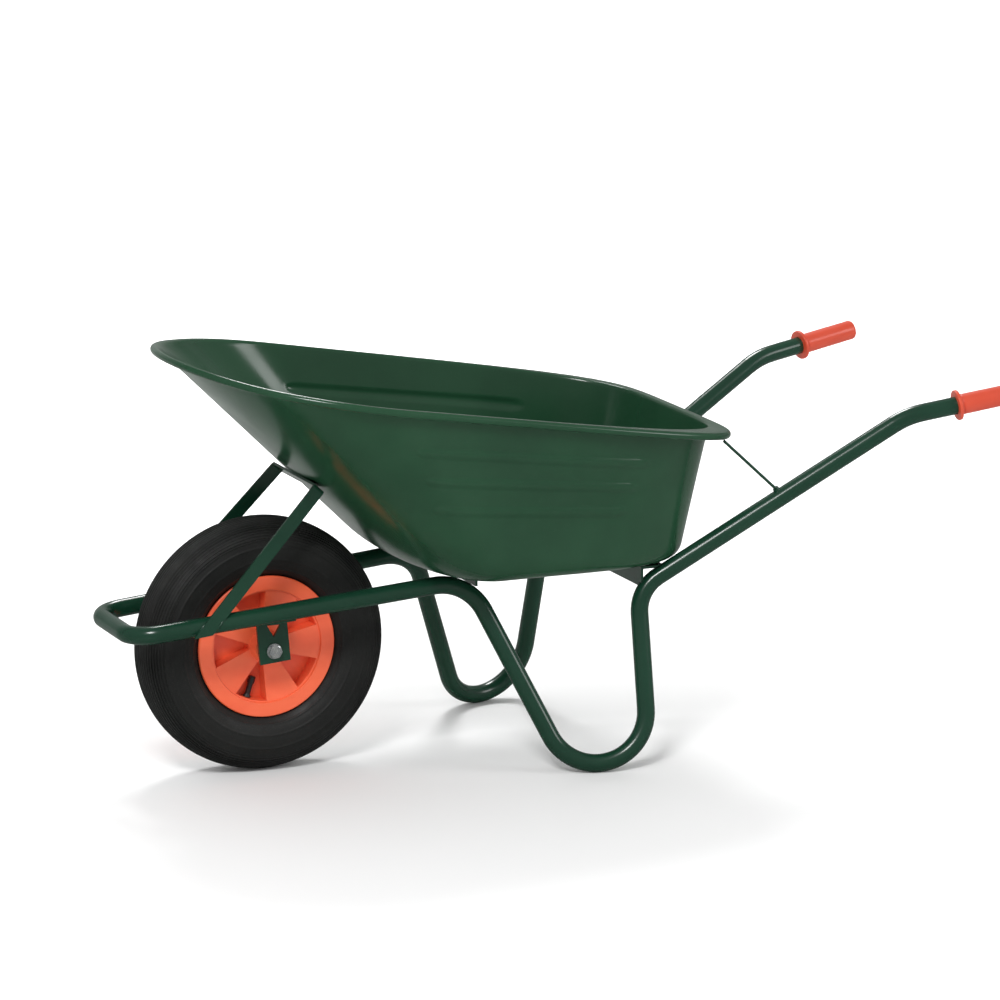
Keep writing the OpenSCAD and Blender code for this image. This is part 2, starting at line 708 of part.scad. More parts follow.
// ---------- tray ----------
// Every level of the tray is one closed outline: an ellipse in front, and behind the
// widest place a rounded box that narrows towards the rear.
function power(c, n) = sign(c) * pow(abs(c), 2 / n);
function outline(a, front, mid, rear, w, rear_w, n_front, n_rear) =
    let (c = power(cos(a), cos(a) < 0 ? n_front : n_rear))
    let (s = power(sin(a), cos(a) < 0 ? n_front : n_rear))
    [mid + (cos(a) < 0 ? mid - front : rear - mid) * c,
        (cos(a) < 0 ? w : w + (rear_w - w) * c) * s];
function rim_height(x) =
    rim_z - rim_fall * x + nose_lift * pow(max(0, (-x - 40) / (tray_nose - 40)), 2);
function rim_at(a, inset, inset_rear) =
    let (p = outline(a, -tray_nose + inset, tray_mid, tray_tail - inset_rear,
        tray_w / 2 - inset, tray_rear_w / 2 - inset, 2.05, inset == 0 ? rim_square : wall_square))
    [p.x, p.y, rim_height(p.x)];
function floor_at(a, inset) =
    let (p = outline(a, floor_front + inset, floor_mid, floor_tail - inset,
        floor_w / 2 - inset, floor_w / 2 - inset, 2.17, floor_square))
    [p.x, p.y, floor_z + inset];
// Outward direction of the rim at an angle
function rim_out(a) =
    let (d = rim_at(a + 1, 0, 0) - rim_at(a - 1, 0, 0)) unit([d.y, -d.x, 0]);
// A point of the wall: t from 0 to 1 goes round the bottom, from 1 to 2 up the wall
function wall_at(a, t, inset) =
    let (low = floor_at(a, inset), top = rim_at(a, flange_w + inset, flange_rear_w + inset))
    let (in = low - [floor_pull, 0, low.z], start = low - in * min(1, floor_round / norm(in)))
    let (up = mix(low, top, round_share))
    t < 1 ? start * (1 - t) * (1 - t) + low * 2 * t * (1 - t) + up * t * t :
        mix(up, top, t - 1);
roll_r = roll_d / 2;
function roll_at(a, turn, r) =
    rim_at(a, 0, 0) + rim_out(a) * (r * cos(turn) - roll_r) + [0, 0, r * sin(turn) - roll_drop];
function flange_z(x) = rim_height(x) - roll_drop + roll_r;
function with_z(p, z) = [p.x, p.y, z];
function angles() = [for (i = [0 : turns - 1]) (i + 0.5) * 360 / turns];
function level(f) = [for (a = angles()) f(a)];
module tray_sheet() {
    up = [for (t = wall_steps) level(function (a) wall_at(a, t, 0))];
    under = level(function (a) let (p = rim_at(a, flange_w, flange_rear_w))
        with_z(p, flange_z(p.x) - sheet_t));
    inside_roll = [for (t = [90 : -30 : -150]) level(function (a) roll_at(a, t, roll_r - sheet_t))];
    outside_roll = [for (t = [-150 : 30 : 90]) level(function (a) roll_at(a, t, roll_r))];
    brim = level(function (a)
        let (p = rim_at(a, flange_w + sheet_t, flange_rear_w + sheet_t)) with_z(p, flange_z(p.x)));
    down = [for (i = [len(wall_steps) - 1 : -1 : 0])
        level(function (a) wall_at(a, wall_steps[i], sheet_t))];
    skin(concat(up, [under], inside_roll, outside_roll, [brim], down));
}
// A closed solid through a list of rings that all have the same number of points
module skin(rings) {
    n = len(rings[0]);
    m = len(rings);
    polyhedron(
        points = [for (r = rings) each r],
        faces = concat(
            [[for (i = [0 : n - 1]) i]],
            [for (k = [0 : m - 2], i = [0 : n - 1]) let (j = (i + 1) % n)
                each [[k * n + i, (k + 1) * n + i, (k + 1) * n + j],
                    [k * n + i, (k + 1) * n + j, k * n + j]]],
            [[for (i = [n - 1 : -1 : 0]) (m - 1) * n + i]]
        )
    );
}
module tray() color(GREEN) place() difference() {
    tray_sheet();
    for (x = [front_bolt_x, rear_bolt_x], y = [-1, 1] * bar_bolt_gap / 2)
        translate([x, y, floor_z - over]) bolt_hole(sheet_t + 2 * over);
}

// ---------- the tray's screws ----------
// Puts a child at every bolt, with 0 at the cross bar's lower face
module at_bolts() place() {
    for (x = [front_bolt_x, rear_bolt_x], y = [-1, 1] * bar_bolt_gap / 2)
        translate([x, y, floor_z - bar_t]) children();
}
module dome(d, h) {
    r = (d * d / 4 + h * h) / (2 * h);
    intersection() {
        translate([0, 0, h - r]) sphere(r = r);
        cylinder(d = d, h = h);
    }
}
nut_face = -bolt_washer_t - bolt_nut_t;
module tray_bolts() color(STEEL) at_bolts() {
    grip = bar_t + sheet_t;
    translate([0, 0, nut_face - bolt_over]) cylinder(d = bolt_d, h = grip - nut_face + bolt_over);
    translate([0, 0, grip]) dome(bolt_head_d, bolt_head_t);
}
module tray_nuts() color(STEEL) at_bolts() translate([0, 0, nut_face]) difference() {
    hexagon(bolt_hex, bolt_nut_t);
    translate([0, 0, -over]) cylinder(d = bolt_d, h = bolt_nut_t + 2 * over);
}
module tray_washers() color(STEEL) at_bolts()
    translate([0, 0, -bolt_washer_t]) ring(bolt_washer_d, bolt_d, bolt_washer_t);

// ---------- stay rods ----------
// From the handle up to the underside of the tray's rolled rim at its rear corners
function stay_angle(x, low, high) =
    let (m = (low + high) / 2) high - low < 0.01 ? m :
        rim_at(m, 0, 0).x > x ? stay_angle(x, m, high) : stay_angle(x, low, m);
module stay_rod(side) color(GREEN) place() half(side) difference() {
    top = roll_at(stay_angle(stay_top_x, 1, 89), -90, roll_r + stay_gap);
    foot_point = handle_at(stay_foot_x);
    union() {
        rod(foot_point, top, stay_d / 2);
        d = unit(top - foot_point);
        rod(foot_point, foot_point + d * (tube_r + 5), stay_weld_d / 2);
    }
    rod(hip, wrist, tube_r + weld);
}
module stay_rod_left() { stay_rod(-1); }
module stay_rod_right() { stay_rod(1); }

// ---------- grips ----------
module grip(side) color(ORANGE) place() half(side)
    multmatrix(frame_at(any_normal(grip_dir), cross(grip_dir, any_normal(grip_dir)),
        grip_dir, grip_start)) difference() {
        union() {
            cylinder(d = grip_d, h = grip_len - 2);
            translate([0, 0, grip_len - 2]) cylinder(d1 = grip_d, d2 = grip_d - 4, h = 2);
            translate([0, 0, -grip_flange_t / 2]) cylinder(d = grip_flange_d, h = grip_flange_t);
        }
        translate([0, 0, -grip_flange_t])
            cylinder(r = tube_r + grip_gap_r, h = grip_flange_t + grip_len - grip_cap_t + 0.2);
    }
module grip_left() { grip(-1); }
module grip_right() { grip(1); }

tray();
nose_tube();
frame_tube_left();
frame_tube_right();
front_brace();
axle_bracket_left();
axle_bracket_right();
axle_bolt();
axle_nut();
axle_washers();
axle_spacer_left();
axle_spacer_right();
front_crossbar();
rear_crossbar();
stay_rod_left();
stay_rod_right();
tray_bolts();
tray_nuts();
tray_washers();
grip_left();
grip_right();
wheel_rim();
hub_bush_left();
hub_bush_right();
tyre();
inner_tube();
valve_stem();
valve_cap();
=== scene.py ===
"""A garden wheelbarrow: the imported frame, the detailed pieces that ride on it, its materials,
a white studio and the camera. Everything is in metres, in the frame of the CAD model."""
import json
import math

import bmesh
import bpy
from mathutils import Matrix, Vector


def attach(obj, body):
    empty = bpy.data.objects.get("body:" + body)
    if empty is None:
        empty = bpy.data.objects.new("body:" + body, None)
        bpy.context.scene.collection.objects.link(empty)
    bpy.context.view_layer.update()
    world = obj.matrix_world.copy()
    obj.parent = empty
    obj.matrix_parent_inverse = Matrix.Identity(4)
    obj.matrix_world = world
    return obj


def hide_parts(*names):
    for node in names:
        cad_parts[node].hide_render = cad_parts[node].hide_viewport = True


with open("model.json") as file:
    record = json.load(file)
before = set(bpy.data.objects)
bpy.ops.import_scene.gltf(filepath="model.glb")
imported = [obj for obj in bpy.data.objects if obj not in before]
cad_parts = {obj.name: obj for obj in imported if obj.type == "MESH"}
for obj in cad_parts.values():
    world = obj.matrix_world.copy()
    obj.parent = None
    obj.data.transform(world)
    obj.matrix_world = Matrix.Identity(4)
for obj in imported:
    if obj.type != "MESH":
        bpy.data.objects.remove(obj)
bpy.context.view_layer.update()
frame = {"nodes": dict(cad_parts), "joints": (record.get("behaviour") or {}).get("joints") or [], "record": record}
NODES = frame["nodes"]
MM = 0.001
AXLE = Vector(frame["joints"][0]["pos_m"])


# ---------- camera ----------
def look():
    """The camera stands to the front left of the barrow, a little above it, with a long lens."""
    data = bpy.data.cameras.new("camera")
    data.sensor_width = 36
    data.lens = 194.45
    data.shift_y = -0.012
    data.clip_end = 60
    camera = bpy.data.objects.new("camera", data)
    camera.location = (-3.277029, -7.6752, 2.18395)
    pitch, roll, yaw = 77.97, 0.063, -22.80
    camera.rotation_euler = [math.radians(a) for a in (pitch, roll, yaw)]
    bpy.context.scene.collection.objects.link(camera)
    bpy.context.scene.camera = camera


look()


# ---------- mesh helpers ----------
def piece(name, verts, faces, mat, body, slot, sharp=35):
    """A new object from points in millimetres about the axle, smooth but for edges over an angle"""
    mesh = bpy.data.meshes.new(name)
    mesh.from_pydata([AXLE + Vector(v) * MM for v in verts], [], faces)
    finish_mesh(mesh, sharp)
    return place_piece(name, mesh, mat, body)


def finish_mesh(mesh, sharp):
    """Turns the faces outwards and shades the mesh smooth but for edges over an angle"""
    bm = bmesh.new()
    bm.from_mesh(mesh)
    bmesh.ops.recalc_face_normals(bm, faces=bm.faces)
    bm.to_mesh(mesh)
    bm.free()
    mesh.polygons.foreach_set("use_smooth", [True] * len(mesh.polygons))
    mesh.set_sharp_from_angle(angle=math.radians(sharp))


def place_piece(name, mesh, mat, body):
    """An object for the mesh, which moves with a body of the frame"""
    obj = bpy.data.objects.new(name, mesh)
    mesh.materials.append(mat)
    bpy.context.scene.collection.objects.link(obj)
    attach(obj, body)
    return obj


def skin(rings, closed_path=False, caps=True):
    """Points and faces of a surface through rings with equal numbers of points"""
    n = len(rings[0])
    verts = [p for ring in rings for p in ring]
    spans = len(rings) if closed_path else len(rings) - 1
    faces = []
    for k in range(spans):
        a, b = k * n, (k + 1) % len(rings) * n
        faces += [(a + i, b + i, b + (i + 1) % n, a + (i + 1) % n) for i in range(n)]
    if caps and not closed_path:
        faces += [tuple(range(n)), tuple(range(len(verts) - n, len(verts)))[::-1]]
    return verts, faces


def lathe(profile, steps, place):
    """A closed profile of (radius, along) pairs turned about an axis; place maps a point"""
    rings = []
    for i in range(steps):
        turn = 2 * math.pi * i / steps
        rings.append([place(r * math.cos(turn), r * math.sin(turn), h) for r, h in profile])
    return skin(rings, closed_path=True)


def arc(cx, cy, r, start, end, steps):
    """Points of an arc in degrees, both ends included"""
    out = []
    for i in range(steps + 1):
        a = math.radians(start + (end - start) * i / steps)
        out.append((cx + r * math.cos(a), cy + r * math.sin(a)))
    return out


BEAD_SIDES = 10
RIPPLE, RIPPLE_PITCH = 0.12, 3.0


def bead(name, path, radius, mat, body, slot):
    """A weld bead: a rippled tube along a path in millimetres, with tapered ends"""
    path = [Vector(p) for p in path]
    length = 0.0
    rings = []
    count = len(path)
    for i, p in enumerate(path):
        ahead = (path[min(i + 1, count - 1)] - path[max(i - 1, 0)]).normalized()
        side = ahead.orthogonal().normalized()
        up = ahead.cross(side)
        if i:
            length += (p - path[i - 1]).length
        end = min(i, count - 1 - i)
        r = radius * math.sin(math.radians(min(90, 25 + 30 * end)))
        r *= 1 + RIPPLE * math.sin(2 * math.pi * length / RIPPLE_PITCH)
        rings.append([p + (side * math.cos(t) + up * math.sin(t)) * r
                      for t in [2 * math.pi * k / BEAD_SIDES for k in range(BEAD_SIDES)]])
    return piece(name, *skin(rings), mat, body, slot, sharp=60)


# ---------- materials ----------
class Shader:
    """A node material with short calls for the nodes that the finishes below share"""

    def __init__(self, name):
        self.mat = bpy.data.materials.new(name)
        self.mat.use_nodes = True
        self.nodes = self.mat.node_tree.nodes
        self.links = self.mat.node_tree.links
        self.bsdf = self.nodes["Principled BSDF"]
        self.coords = self.nodes.new("ShaderNodeTexCoord").outputs["Object"]

    def put(self, socket, value):
        if isinstance(value, bpy.types.NodeSocket):
            self.links.new(value, socket)
        else:
            socket.default_value = value

    def set(self, **values):
        for key, value in values.items():
            self.put(self.bsdf.inputs[key.replace("_", " ")], value)

    def noise(self, scale, detail=3.0, stretch=(1, 1, 1), rough=0.5):
        mapping = self.nodes.new("ShaderNodeMapping")
        mapping.inputs["Scale"].default_value = stretch
        self.links.new(self.coords, mapping.inputs["Vector"])
        node = self.nodes.new("ShaderNodeTexNoise")
        node.inputs["Scale"].default_value = scale
        node.inputs["Detail"].default_value = detail
        node.inputs["Roughness"].default_value = rough
        self.links.new(mapping.outputs["Vector"], node.inputs["Vector"])
        return node.outputs["Fac"]

    def range(self, value, low, high, to_low, to_high):
        node = self.nodes.new("ShaderNodeMapRange")
        node.interpolation_type = "SMOOTHSTEP"
        for key, number in zip(("From Min", "From Max", "To Min", "To Max"),
                               (low, high, to_low, to_high)):
            self.put(node.inputs[key], number)
        self.links.new(value, node.inputs["Value"])
        return node.outputs["Result"]

    def blend(self, share, a, b):
        node = self.nodes.new("ShaderNodeMix")
        node.data_type = "RGBA"
        self.put(node.inputs["Factor"], share)
        self.put(node.inputs["A"], a)
        self.put(node.inputs["B"], b)
        return node.outputs["Result"]

    def bump(self, height, strength, distance, under=None):
        node = self.nodes.new("ShaderNodeBump")
        node.inputs["Strength"].default_value = strength
        node.inputs["Distance"].default_value = distance
        self.links.new(height, node.inputs["Height"])
        if under is not None:
            self.links.new(under, node.inputs["Normal"])
        return node.outputs["Normal"]


def paint(name, dark, light, gloss):
    """Sprayed gloss enamel: a faint cloudiness, orange peel and a few dull specks of dust"""
    s = Shader(name)
    cloud = s.range(s.noise(6.0, 4.0), 0.3, 0.7, 0.0, 1.0)
    dust = s.range(s.noise(900.0, 2.0), 0.68, 0.76, 0.0, 0.25)
    s.set(Base_Color=s.blend(dust, s.blend(cloud, dark, light), (0.10, 0.13, 0.10, 1)))
    s.set(Roughness=s.range(s.noise(14.0, 5.0), 0.3, 0.7, gloss, gloss + 0.07))
    s.set(Specular_IOR_Level=0.5)
    s.set(Normal=s.bump(s.noise(260.0, 2.0), 0.08, 0.0005))
    return s.mat


def plastic(name, dark, light, gloss, grain=900.0, coat=0.25):
    """Moulded plastic: slow colour change from the flow, fine grain and rubbed patches"""
    s = Shader(name)
    flow = s.range(s.noise(9.0, 4.0, (1, 1, 2.2)), 0.3, 0.7, 0.0, 1.0)
    s.set(Base_Color=s.blend(flow, dark, light))
    s.set(Roughness=s.range(s.noise(30.0, 4.0), 0.3, 0.7, gloss, gloss + 0.14))
    s.set(Coat_Weight=coat, Coat_Roughness=0.15)
    s.set(Normal=s.bump(s.noise(grain, 3.0), 0.18, 0.0003))
    return s.mat


def rubber(name, dark, light, rough):
    """Tyre rubber: greyish bloom, scattered specks of dust and a fine mould grain"""
    s = Shader(name)
    bloom = s.range(s.noise(11.0, 6.0, rough=0.6), 0.35, 0.7, 0.0, 1.0)
    speck = s.range(s.noise(700.0, 2.0), 0.58, 0.72, 0.0, 0.4)
    s.set(Base_Color=s.blend(speck, s.blend(bloom, dark, light), (0.045, 0.043, 0.040, 1)))
    s.set(Roughness=s.range(s.noise(40.0, 5.0), 0.3, 0.7, rough, rough + 0.16))
    fine = s.bump(s.noise(1300.0, 3.0), 0.30, 0.0003)
    s.set(Normal=s.bump(s.noise(60.0, 3.0), 0.15, 0.0012, fine))
    return s.mat


def zinc(name):
    """Bright zinc plate: faint blotches, drawn scratches and soft dents"""
    s = Shader(name)
    blotch = s.range(s.noise(160.0, 5.0), 0.35, 0.7, 0.0, 1.0)
    s.set(Base_Color=s.blend(blotch, (0.60, 0.61, 0.63, 1), (0.80, 0.80, 0.79, 1)))
    s.set(Roughness=s.range(s.noise(420.0, 4.0), 0.3, 0.7, 0.18, 0.42), Metallic=1.0)
    lines = s.bump(s.noise(500.0, 3.0, (1, 9, 1)), 0.15, 0.0003)
    s.set(Normal=s.bump(s.noise(90.0, 3.0), 0.12, 0.0008, lines))
    return s.mat


FRAME_PAINT = paint("frame_paint", (0.005, 0.034, 0.018, 1), (0.008, 0.044, 0.024, 1), 0.18)
TRAY_PAINT = paint("tray_paint", (0.011, 0.050, 0.023, 1), (0.015, 0.062, 0.029, 1), 0.17)
RIM_PLASTIC = plastic("rim_plastic", (0.88, 0.112, 0.040, 1), (0.95, 0.150, 0.058, 1), 0.34)
GRIP_PLASTIC = plastic("grip_plastic", (0.56, 0.050, 0.018, 1), (0.64, 0.068, 0.026, 1), 0.40,
                       grain=1400.0)
NYLON = plastic("nylon", (0.020, 0.020, 0.021, 1), (0.032, 0.032, 0.032, 1), 0.45)
BLACK_PLASTIC = plastic("black_plastic", (0.012, 0.012, 0.013, 1), (0.022, 0.022, 0.022, 1), 0.3)
TYRE_RUBBER = rubber("tyre_rubber", (0.004, 0.0045, 0.004, 1), (0.008, 0.0085, 0.0075, 1), 0.52)
BLACK_RUBBER = rubber("black_rubber", (0.010, 0.010, 0.010, 1), (0.018, 0.018, 0.018, 1), 0.42)
ZINC = zinc("zinc")
FINISH = {
    "frame_paint": FRAME_PAINT, "tray_paint": TRAY_PAINT, "zinc": ZINC, "nylon": NYLON,
    "grip_plastic": GRIP_PLASTIC, "rim_plastic": RIM_PLASTIC, "tyre": TYRE_RUBBER,
    "black_rubber": BLACK_RUBBER, "black_plastic": BLACK_PLASTIC,
}


def finish_nodes():
    """Gives every CAD node its finish and takes the sharpness off its edges"""
    slots = {part["node"]: part["material_slot"] for part in frame["record"]["subparts"]}
    soft = {"wheel_rim": 0.8, "axle_bracket_left": 0.6, "axle_bracket_right": 0.6,
            "front_crossbar": 0.6, "rear_crossbar": 0.6, "axle_bolt": 0.35, "axle_nut": 0.35,
            "tray_nuts": 0.3, "axle_washers": 0.3, "tray_washers": 0.25}
    for name, obj in NODES.items():
        for holder in obj.material_slots:
            holder.material = FINISH[slots[name]]
        if name in soft:
            bevel = obj.modifiers.new("soft edges", "BEVEL")
            bevel.width = soft[name] * MM
            bevel.segments = 2
            bevel.limit_method = "ANGLE"
            bevel.angle_limit = math.radians(40)
            bevel.harden_normals = True


finish_nodes()


# ---------- tray ----------
# The same sizes as the CAD tray, in millimetres about the axle's middle but for heights,
# which are above the ground.
AXLE_Z = AXLE.z / MM
SHEET = 1.2
NOSE, MID, TAIL = -150, 130, 727
HALF, REAR_HALF = 311, 284
FLANGE, FLANGE_REAR = 13, 22
FLOOR_FRONT, FLOOR_MID, FLOOR_TAIL, FLOOR_HALF, FLOOR_Z = 219, 319, 655, 237, 310
FLOOR_ROUND, ROUND_SHARE, FLOOR_X = 44, 0.13, 400
ROLL_R, ROLL_DROP = 6, 4
# Powers of the rounded outlines: 2 is an ellipse, more is squarer
RIM_POWER_FRONT, RIM_POWER_REAR, WALL_POWER_REAR = 2.05, 6, 4.6
FLOOR_POWER_FRONT, FLOOR_POWER_REAR = 2.17, 4.7
# The rim falls evenly to the rear, and its nose turns up from a little ahead of the axle
RIM_Z, RIM_SLOPE = 631, 0.163
NOSE_RISE, RISE_START, RISE_LENGTH = 6, 40, 110
FILLET_REACH = 3
# Steps of the mesh: round the tray, round the bottom edge, and up the wall, whose last two
# steps are left to the fillet
COLUMNS, ROUND_STEPS, WALL_STEPS, LAST_STEP = 560, 12, 78, 76


def superellipse(phi, n):
    c, s = math.cos(phi), math.sin(phi)
    k = (abs(c) ** n + abs(s) ** n) ** (-1 / n)
    return c * k, s * k


def outline(phi, front, mid, rear, half, rear_half, n_front, n_rear):
    """A closed outline: an ellipse in front and a rounded box behind, narrower at the rear"""
    c, s = superellipse(phi, n_front if math.cos(phi) < 0 else n_rear)
    x = mid + (mid - front if c < 0 else rear - mid) * c
    return x, s * (half + (rear_half - half) * max(c, 0))


def rim_height(x):
    return RIM_Z - RIM_SLOPE * x + NOSE_RISE * max(0, (-x - RISE_START) / RISE_LENGTH) ** 2


def rim_at(phi, inset, inset_rear):
    x, y = outline(phi, NOSE + inset, MID, TAIL - inset_rear, HALF - inset, REAR_HALF - inset,
                   RIM_POWER_FRONT, RIM_POWER_REAR if inset == 0 else WALL_POWER_REAR)
    return Vector((x, y, rim_height(x)))


def floor_at(phi, inset):
    x, y = outline(phi, FLOOR_FRONT + inset, FLOOR_MID, FLOOR_TAIL - inset,
                   FLOOR_HALF - inset, FLOOR_HALF - inset, FLOOR_POWER_FRONT, FLOOR_POWER_REAR)
    return Vector((x, y, FLOOR_Z + inset))


def rim_out(phi):
    """Level outward direction of the rim"""
    step = 0.01
    d = rim_at(phi + step, 0, 0) - rim_at(phi - step, 0, 0)
    return Vector((d.y, -d.x, 0)).normalized()


def smooth(t):
    """From 0 to 1 with soft ends"""
    t = min(1, max(0, t))
    return t * t * (3 - 2 * t)


# Pressed ribs along both sides: share of the wall's height, and where they start and end
RIBS = ((0.34, 187, 515), (0.53, 169, 533), (0.72, 151, 551))
RIB_HEIGHT, RIB_HALF_WIDTH, RIB_END, RIB_STEEPNESS = 2.4, 10, 16, 1.6


def rib(point, share, wall_height):
    """How far the sheet stands out at a place of the wall"""
    out = 0
    for middle, start, end in RIBS:
        beside = abs(share - middle) * wall_height
        along = min(point.x - start, end - point.x)
        reach = math.hypot(beside, max(0, RIB_END - along) * RIB_HALF_WIDTH / RIB_END)
        flank = (RIB_HALF_WIDTH - reach) / RIB_HALF_WIDTH * RIB_STEEPNESS
        out = max(out, RIB_HEIGHT * smooth(flank))
    return out


def wall_at(phi, t, inset):
    """t from 0 to 1 goes round the bottom edge, and from 1 to 2 up the wall"""
    low = floor_at(phi, inset)
    top = rim_at(phi, FLANGE + inset, FLANGE_REAR + inset)
    inward = low - Vector((FLOOR_X, 0, low.z))
    start = low - inward * min(1, FLOOR_ROUND / inward.length)
    up = low.lerp(top, ROUND_SHARE)
    if t < 1:
        return start * (1 - t) ** 2 + low * (2 * t * (1 - t)) + up * t * t
    point = up.lerp(top, t - 1)
    stand_out = rib(point, t - 1, (top - up).length)
    return point + rim_out(phi) * stand_out if stand_out else point


def roll_at(phi, turn, r):
    """A place on the rolled edge; turn is in degrees, with 90 on top and 0 outside"""
    a = math.radians(turn)
    return (rim_at(phi, 0, 0) + rim_out(phi) * (r * math.cos(a) - ROLL_R)
            + Vector((0, 0, r * math.sin(a) - ROLL_DROP)))


def tray():
    """One pressed sheet: floor, wall, ribs, a flange with a small fillet, and the rolled rim"""
    angles = [2 * math.pi * (i + 0.5) / COLUMNS for i in range(COLUMNS)]
    heights = [i / ROUND_STEPS for i in range(ROUND_STEPS)]
    heights += [1 + i / WALL_STEPS for i in range(LAST_STEP + 1)]

    def level(f):
        return [f(phi) - Vector((0, 0, AXLE_Z)) for phi in angles]

    def flange(phi, inset, drop):
        p = rim_at(phi, FLANGE + inset, FLANGE_REAR + inset)
        return Vector((p.x, p.y, rim_height(p.x) - ROLL_DROP + ROLL_R - drop))

    def fillet(phi, t, inset, drop):
        corner = flange(phi, inset, drop)
        start = wall_at(phi, 1 + LAST_STEP / WALL_STEPS, inset)
        end = corner + rim_out(phi) * FILLET_REACH
        end.z = rim_height(end.x) - ROLL_DROP + ROLL_R - drop
        return start * (1 - t) ** 2 + corner * (2 * t * (1 - t)) + end * t * t

    def wall(inset):
        return [level(lambda phi, t=t: wall_at(phi, t, inset)) for t in heights]

    def bend(inset, drop):
        return [level(lambda phi, t=t: fillet(phi, t, inset, drop)) for t in (0.25, 0.5, 0.75, 1)]

    outside = wall(0) + bend(0, SHEET)
    turns = list(range(90, -166, -15))
    hidden = [level(lambda phi, t=t: roll_at(phi, t, ROLL_R - SHEET)) for t in turns]
    shown = [level(lambda phi, t=t: roll_at(phi, t, ROLL_R)) for t in turns[::-1]]
    inside = (wall(SHEET) + bend(SHEET, 0))[::-1]
    obj = piece("tray_shell", *skin(outside + hidden + shown + inside), TRAY_PAINT,
                "frame", "tray_paint", sharp=50)
    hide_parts("tray")


# ---------- tyre ----------
RIM_BEAD_R = 101.9
TYRE_R, TYRE_HALF, CROWN, TYRE_N = 200, 51, 48, 2.3
TREAD_FROM, TREAD_RIBS, TREAD_DEPTH, TREAD_STEP = 20, 23, 1.3, 0.75
# Thin rings on the sidewalls: places in degrees round the section, half width and height
RINGS, RING_WIDTH, RING_HEIGHT = (-34, -12, 8), 1.6, 0.9
SIDE_FROM, SIDE_STEP, SIDE_COUNT = -56, 1.5, 51
# The beads sit on the rim, and the room for the inner tube is an ellipse
BEAD_OUT, BEAD_IN, BEAD_TOP, BEAD_TOP_HALF = 31.3, 21, 4, 20
ROOM_R, ROOM_HEIGHT, ROOM_HALF = 150, 41, 46


def tyre():
    """Pneumatic tyre: many fine grooves round the tread and shoulders, thin rings on the sides"""
    def at(a, depth):
        c, s = math.cos(math.radians(a)), math.sin(math.radians(a))
        w = TYRE_HALF * math.copysign(abs(c) ** (2 / TYRE_N), c)
        h = CROWN * math.copysign(abs(s) ** (2 / TYRE_N), s)
        size = math.hypot(w, h)
        return TYRE_R - CROWN + h * (1 - depth / size), w * (1 - depth / size)

    def sink(a):
        share = (a - TREAD_FROM) / (180 - 2 * TREAD_FROM)
        if 0 <= share <= 1:
            wave = math.cos(2 * math.pi * TREAD_RIBS * share)
            return TREAD_DEPTH * smooth((0.15 - wave) / 0.7)
        ring = sum(math.exp(-((min(a, 180 - a) - k) / RING_WIDTH) ** 2) for k in RINGS)
        return RING_HEIGHT - RING_HEIGHT * ring

    tread_count = int((180 - 2 * TREAD_FROM) / TREAD_STEP) + 1
    tread = [TREAD_FROM + TREAD_STEP * i for i in range(tread_count)]
    side = [SIDE_FROM + SIDE_STEP * i for i in range(SIDE_COUNT)]
    profile = [at(a, sink(a)) for a in side + tread + [180 - a for a in side[::-1]]]
    foot = [(RIM_BEAD_R, BEAD_OUT), (RIM_BEAD_R, BEAD_IN), (RIM_BEAD_R + BEAD_TOP, BEAD_TOP_HALF)]
    profile += [(r, -w) for r, w in foot]
    profile += [(ROOM_R + ROOM_HEIGHT * math.sin(math.radians(a)),
                 ROOM_HALF * math.cos(math.radians(a))) for a in range(236, -57, -12)]
    profile += foot[::-1]
    obj = piece("tyre_tread", *lathe(profile, 180, lambda x, z, y: (x, y, z)), TYRE_RUBBER,
                "wheel", "tyre", sharp=60)
    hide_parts("tyre")


# ---------- grips ----------
GRIP_START = Vector((1068, 282, 543))
WRIST = Vector((986, 270, 530))
GRIP_LENGTH, GRIP_R, FLANGE_R, TUBE_R = 105, 16, 24, 14
HAND_STOP_EDGE, NECK_ROUND, END_ROUND, END_WALL = 1.4, 1.6, 4.2, 3.8
BORE_GAP, VENT_R = 0.15, 0.6


def grip(side, name):
    """A slightly tapered sleeve with a hand stop, a necked root and a rounded end"""
    along = (GRIP_START - WRIST).normalized()
    along.y *= side
    start = Vector((GRIP_START.x, side * GRIP_START.y, GRIP_START.z - AXLE_Z))
    across = along.orthogonal().normalized()
    other = along.cross(across)
    bore = TUBE_R + BORE_GAP
    edge = HAND_STOP_EDGE
    outer = arc(FLANGE_R - edge, -edge, edge, -90, 0, 4)
    outer += arc(FLANGE_R - edge, edge, edge, 0, 90, 4)
    neck = arc(GRIP_R + NECK_ROUND, 4.4, NECK_ROUND, 270, 180, 4) + [(GRIP_R - 0.4, 6.6)]
    body = arc(GRIP_R - 0.6, 8.4, 0.9, -60, 0, 3)
    sleeve = [(GRIP_R + 0.2 - 0.25 * smooth((h - 20) / 80), h) for h in range(12, 99, 4)]
    end = arc(GRIP_R - END_ROUND, GRIP_LENGTH - END_ROUND, END_ROUND, 0, 90, 7)
    profile = [(bore, -2 * edge)] + outer + neck + body + sleeve + end
    inner_end = GRIP_LENGTH - END_WALL
    profile += [(VENT_R, GRIP_LENGTH), (VENT_R, inner_end), (bore, inner_end)]
    verts, faces = lathe(profile, 64, lambda x, y, h: start + across * x + other * y + along * h)
    obj = piece(name + "_sleeve", verts, faces, GRIP_PLASTIC, "frame", "grip_plastic", sharp=50)
    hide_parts(name)


